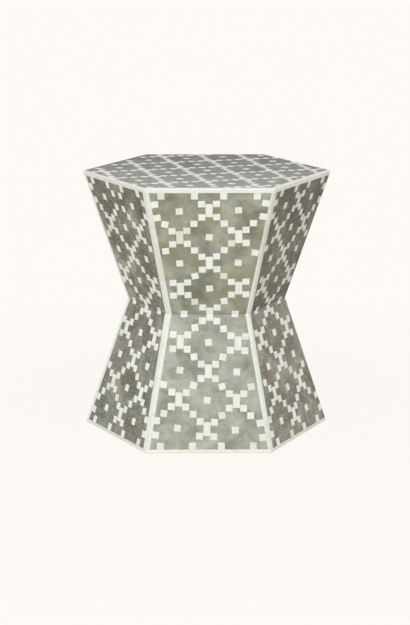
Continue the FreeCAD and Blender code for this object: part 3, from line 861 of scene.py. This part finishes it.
def lay_edge_strips(finish, edge, replaced, half, span):
    """Strips round the rim or the foot, mitred at the corners."""
    work = BoneWork(f"{edge}_edge_strips", edge, SHADE_ON_EDGES[edge])
    for face in FACES:
        outer = side_plane(half, face)
        inner = turned_round(side_plane(half, face, SKIN))
        planes = [outer, inner, *mitre_planes(face), *levels(*span)]
        lay_edge(work, edge, half, face, planes, [outer[1]])
    work.laid(replaced, finish)


def lay_seat_strips(finish, span):
    """Strips along the seat's front edges, mitred to each other and cut off at the bare edges."""
    work = BoneWork("seat_edge_strips", "seat", SHADE_ON_EDGES["seat"])
    for face, share in BORDER_SHARES.items():
        outer = side_plane("upper", face)
        field = CORNER_RADIUS * math.cos(HALF_TURN) - BORDER_STRIP * share
        inner = (outward(face) * field, -outward(face))
        ends = mitre_planes(face)
        outers = [UP, outer[1]]
        for index, step in enumerate((-1, 1)):
            beside = (face + step) % SIDES or SIDES
            if beside not in BORDER_SHARES:
                ends[index] = side_plane("upper", beside)
                outers.append(ends[index][1])
        lay_edge(work, "seat", "upper", face, [outer, inner, *ends, *levels(*span)], outers)
    work.laid("seat_border_strips", finish)


def lay_strips(finish):
    rim_level = WAIST_LEVEL + HALF_HEIGHT - RIM_STRIP / SLOPE
    base_level = WAIST_LEVEL - HALF_HEIGHT + BASE_STRIP / SLOPE
    skin_level = SEAT_LEVEL - SKIN
    lay_arris_strips(finish, "upper", (WAIST_LEVEL, rim_level))
    lay_arris_strips(finish, "lower", (base_level, WAIST_LEVEL))
    lay_edge_strips(finish, "rim", "rim_strips", "upper", (rim_level, skin_level - SEAM))
    lay_edge_strips(finish, "foot", "base_strips", "lower", (GLIDE_PROUD, base_level))
    lay_seat_strips(finish, (skin_level, SEAT_LEVEL))


def ring_tree():
    """Copies of one piece round the upright axis, each turned a little at random."""
    tree = bpy.data.node_groups.new("ring_of_pieces", "GeometryNodeTree")
    for name, kind in (("Geometry", "Geometry"), ("Count", "Int"), ("Radius", "Float"),
                       ("Loose Turn", "Float"), ("Seed", "Int"), ("Finish", "Material")):
        tree.interface.new_socket(name, in_out="INPUT", socket_type=f"NodeSocket{kind}")
    tree.interface.new_socket("Geometry", in_out="OUTPUT", socket_type="NodeSocketGeometry")

    def node(kind, settings=(), inputs=(), output=0):
        return new_node(tree, kind, settings, inputs).outputs[output]

    given = new_node(tree, "NodeGroupInput").outputs
    places = node("GeometryNodeMeshCircle", {},
                  {"Vertices": given["Count"], "Radius": given["Radius"]})
    most = given["Loose Turn"]
    least = node("ShaderNodeMath", {"operation": "MULTIPLY"}, {0: most, 1: -1.0})
    # Inputs 2 and 3 and output 1 of a random value are its floats.
    loose = node("FunctionNodeRandomValue", {"data_type": "FLOAT"},
                 {2: least, 3: most, "Seed": given["Seed"]}, 1)
    turn = node("ShaderNodeCombineXYZ", {}, {"Z": loose})
    rotation = node("FunctionNodeEulerToRotation", {}, {0: turn})
    copies = node("GeometryNodeInstanceOnPoints", {},
                  {"Points": places, "Instance": given["Geometry"], "Rotation": rotation})
    real = node("GeometryNodeRealizeInstances", {}, {0: copies})
    dressed = node("GeometryNodeSetMaterial", {}, {"Geometry": real, "Material": given["Finish"]})
    new_node(tree, "NodeGroupOutput", {}, {0: dressed})
    return tree


def set_ring(name, one, tree, finish, inputs, replaced):
    """One mesh of copies of a piece, in place of a CAD node."""
    source = bpy.data.meshes.new(f"{name}_one")
    one.to_mesh(source)
    one.free()
    piece = bpy.data.objects.new(name, source)
    bpy.context.scene.collection.objects.link(piece)
    modifier = piece.modifiers.new("ring", "NODES")
    modifier.node_group = tree
    sockets = {item.name: item.identifier for item in tree.interface.items_tree
               if item.in_out == "INPUT"}
    for key, value in {**inputs, "Finish": finish}.items():
        modifier[sockets[key]] = value
    graph = bpy.context.evaluated_depsgraph_get()
    mesh = bpy.data.meshes.new_from_object(piece.evaluated_get(graph))
    piece.modifiers.remove(modifier)
    piece.data = mesh
    mesh.name = name
    mesh.shade_smooth()
    mesh.set_sharp_from_angle(angle=SHARP_FITTING)
    put_in_place(piece, replaced)


def felt_glide(steps=28):
    """Round pad, turned from half its outline."""
    work = bmesh.new()
    rows = []
    for radius, height in ((radius * MM, height * MM) for radius, height in GLIDE_OUTLINE):
        middle = UP * height
        places = [way * radius + middle for way in circle(steps)] if radius else [middle]
        rows.append([work.verts.new(place) for place in places])
    for below, above in zip(rows, rows[1:]):
        for i in range(steps):
            j = (i + 1) % steps
            corners = [row[k % len(row)] for row, k in
                       ((below, i), (below, j), (above, j), (above, i))]
            work.faces.new(list(dict.fromkeys(corners)))
    bmesh.ops.recalc_face_normals(work, faces=work.faces)
    return work


def crossed_screw(length, steps=32):
    """Countersunk screw, head down, with a cross cut into its head."""
    head, chamfer, rise = 4 * MM, 0.15 * MM, 2.4 * MM
    shank, tip = 2 * MM, 0.2 * MM
    arm, reach, depth, taper = 0.55 * MM, 2.1 * MM, 1.3 * MM, 0.55
    work = bmesh.new()
    outline = []
    for quarter in range(4):
        turn = Matrix.Rotation(quarter * math.pi / 2, 3, "Z")
        outline += [turn @ Vector(place)
                    for place in ((reach, -arm, 0), (reach, arm, 0), (arm, arm, 0))]
    mouth = [work.verts.new(place) for place in outline]
    floor = [work.verts.new(place * taper + UP * depth) for place in outline]
    rows = [(head - chamfer, 0), (head, chamfer), (shank, rise), (shank, length - 2 * shank),
            (tip, length)]
    rings = [[work.verts.new(way * radius + UP * height) for way in circle(steps)]
             for radius, height in rows]
    for first, second in [(mouth, floor), *zip(rings, rings[1:])]:
        for i in range(len(first)):
            j = (i + 1) % len(first)
            work.faces.new([first[i], first[j], second[j], second[i]])
    work.faces.new(floor)
    work.faces.new(rings[-1])
    loops = [work.edges.get((loop[i], loop[(i + 1) % len(loop)])) for loop in (mouth, rings[0])
             for i in range(len(loop))]
    bmesh.ops.triangle_fill(work, edges=loops, use_beauty=True, use_dissolve=False)
    bmesh.ops.recalc_face_normals(work, faces=work.faces)
    bmesh.ops.translate(work, verts=work.verts, vec=UP * GLIDE_PROUD)
    return work


def fit_feet_and_screws(steel, felt):
    tree = ring_tree()
    set_ring("foot_screws", crossed_screw(SCREW_LENGTH), tree, steel,
             {"Count": SIDES, "Radius": FOOT_ARRIS - SCREW_INSET, "Loose Turn": 0.7, "Seed": 4},
             "base_screws")
    set_ring("felt_glides", felt_glide(), tree, felt,
             {"Count": SIDES, "Radius": FOOT_ARRIS - GLIDE_INSET, "Loose Turn": 0.5, "Seed": 9},
             "floor_glides")


def finish_node(name, material):
    for slot in nodes[name].material_slots:
        slot.link = "OBJECT"
        slot.material = material


def finish_resin():
    for half in HALVES:
        for face in FACES:
            # Each field is cut from its own part of the clouds.
            offset = (face * 1.3, HALVES[half] * 2.1, face * 0.7)
            # Painted light and shade: each side takes the shades set for how the lamps light it.
            shades = LIT_RESIN_SHADES[half, BACK_SHADES.get(face, face)]
            name = f"{half}_resin_{face}"
            finish_node(name, clouded_resin(name, offset, **shades))
    finish_node("seat_resin", clouded_resin("seat_resin", (8.1, 2.7, 5.5), **SEAT_SHADES))


def finish_carcass(steel):
    board, block = pressed_board(), sawn_block()
    for name in nodes:
        if "board" in name or "panel" in name:
            finish_node(name, board)
        elif "blocks" in name:
            finish_node(name, block)
        elif "nails" in name or "screws" in name:
            finish_node(name, steel)


def lay_floor(pale):
    """Pale floor with a soft shadow near the stool."""
    finish = new_finish("studio_floor")
    spot = finish.place()
    cloth = finish.mixed(finish.noise(spot, scale=40) * 0.02, pale, srgb(240, 236, 228))
    lit = finish.node("BsdfDiffuse", {}, {"Color": cloth})
    shining = finish.node("Emission", {}, {"Color": (*pale, 1), "Strength": 1.0})
    away = finish.length(finish.stretched(spot, (1, 1, 0)))
    share = finish.seen() * finish.smooth(away, *PLAIN_REACH, *PLAIN_SHARE)
    both = finish.node("MixShader", {}, {0: share, 1: lit, 2: shining})
    finish.node("OutputMaterial", {}, {"Surface": both})
    mesh = bpy.data.meshes.new("studio_floor")
    corners = [(x * FLOOR_REACH, y * FLOOR_REACH, 0)
               for x, y in ((-1, -1), (1, -1), (1, 1), (-1, 1))]
    mesh.from_pydata(corners, [], [(0, 1, 2, 3)])
    mesh.materials.append(finish.owner)
    floor = bpy.data.objects.new("studio_floor", mesh)
    bpy.context.scene.collection.objects.link(floor)


def light_air(pale):
    """Even light from all round, and a background of the floor's colour."""
    world = bpy.data.worlds.new("studio")
    bpy.context.scene.world = world
    finish = Finish(world)
    air = finish.node("Background", {}, {"Color": AIR_LIGHT, "Strength": AIR_STRENGTH})
    backdrop = finish.node("Background", {}, {"Color": (*pale, 1), "Strength": 1})
    both = finish.node("MixShader", {}, {0: finish.seen(), 1: air, 2: backdrop})
    finish.node("OutputWorld", {}, {"Surface": both})


def hang_softboxes():
    for name, (place, size, power) in SOFTBOXES.items():
        lamp = bpy.data.lights.new(name, "AREA")
        lamp.shape = "SQUARE"
        lamp.size = size
        lamp.energy = power
        lamp.color = LAMP_LIGHT
        holder = bpy.data.objects.new(name, lamp)
        holder.location = place
        away = Vector(place) - Vector(SOFTBOX_AIM)
        holder.rotation_euler = away.to_track_quat("Z", "Y").to_euler()
        bpy.context.scene.collection.objects.link(holder)


def set_camera():
    level = Vector(CAMERA_LEVEL).normalized()
    forward = level * math.cos(CAMERA_DIP) - UP * math.sin(CAMERA_DIP)
    right = forward.cross(UP).normalized()
    above = right.cross(forward)
    cosine, sine = math.cos(CAMERA_ROLL), math.sin(CAMERA_ROLL)
    axes = Matrix((right * cosine + above * sine, above * cosine - right * sine, -forward))
    lens = bpy.data.cameras.new("camera")
    lens.lens = CAMERA_LENS
    lens.sensor_width = CAMERA_SENSOR
    lens.clip_end = CAMERA_SIGHT
    camera = bpy.data.objects.new("camera", lens)
    camera.matrix_world = Matrix.Translation(CAMERA_PLACE) @ axes.transposed().to_4x4()
    bpy.context.scene.collection.objects.link(camera)
    bpy.context.scene.camera = camera


def set_studio():
    pale = srgb(253, 250, 245)
    lay_floor(pale)
    light_air(pale)
    hang_softboxes()
    set_camera()
    bpy.context.scene.view_settings.view_transform = "Standard"


bone = polished_bone()
steel = zinc_steel()
lay_squares(bone)
lay_strips(bone)
fit_feet_and_screws(steel, black_felt())
finish_resin()
finish_carcass(steel)
set_studio()
